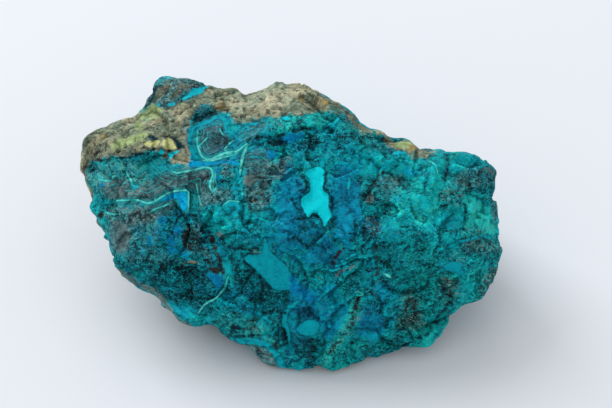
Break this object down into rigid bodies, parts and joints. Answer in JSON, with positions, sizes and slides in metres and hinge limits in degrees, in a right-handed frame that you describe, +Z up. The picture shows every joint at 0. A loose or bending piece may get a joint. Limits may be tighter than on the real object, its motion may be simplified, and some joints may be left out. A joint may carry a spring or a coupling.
{
  "type": "chrysocolla specimen",
  "caption": "Rough broken lump of blue-green chrysocolla with a brown weathered crown, a display mineral that rests on a flat underside.",
  "frame": {"origin": "on the resting surface, under the middle of the lump's box", "axes": "+X along the lump's length, +Y towards its rear, +Z up; the showy face leans back and looks towards -Y and up"},
  "size_m": [0.0852, 0.056, 0.0378],
  "materials": {
    "chrysocolla": "mostly dull, waxy on the turquoise patches, with pale veins and brown crusts"
  },
  "bodies": {
    "root": {"chrysocolla_rock": "chrysocolla"}
  },
  "joints": []
}
